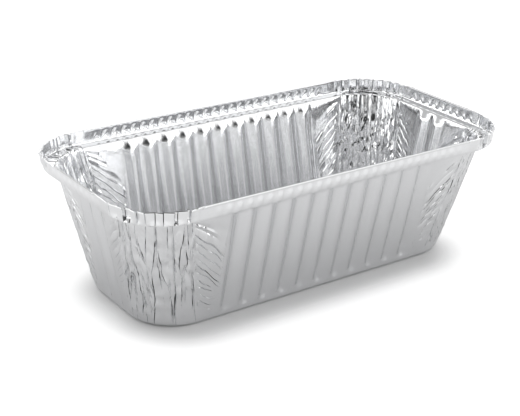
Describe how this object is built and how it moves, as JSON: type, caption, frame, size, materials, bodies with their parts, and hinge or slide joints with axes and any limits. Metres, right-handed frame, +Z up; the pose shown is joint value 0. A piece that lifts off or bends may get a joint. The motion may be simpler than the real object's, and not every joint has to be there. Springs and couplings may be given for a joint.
{
  "type": "foil loaf tray",
  "caption": "Rectangular aluminium foil loaf tray with gathered corners, flutes in its leaning walls, and a rim with a flat shelf and an upright lip, rolled along the straight sides.",
  "frame": {"origin": "the middle of the underside of the flat base, where the tray stands", "axes": "+X runs along the tray's length, +Y across its width, +Z up out of its open top"},
  "size_m": [0.218, 0.113, 0.0669],
  "materials": {
    "foil": "bright rolled foil, lightly crumpled in the corners"
  },
  "bodies": {
    "root": {"foil_tray": "foil"}
  },
  "joints": []
}
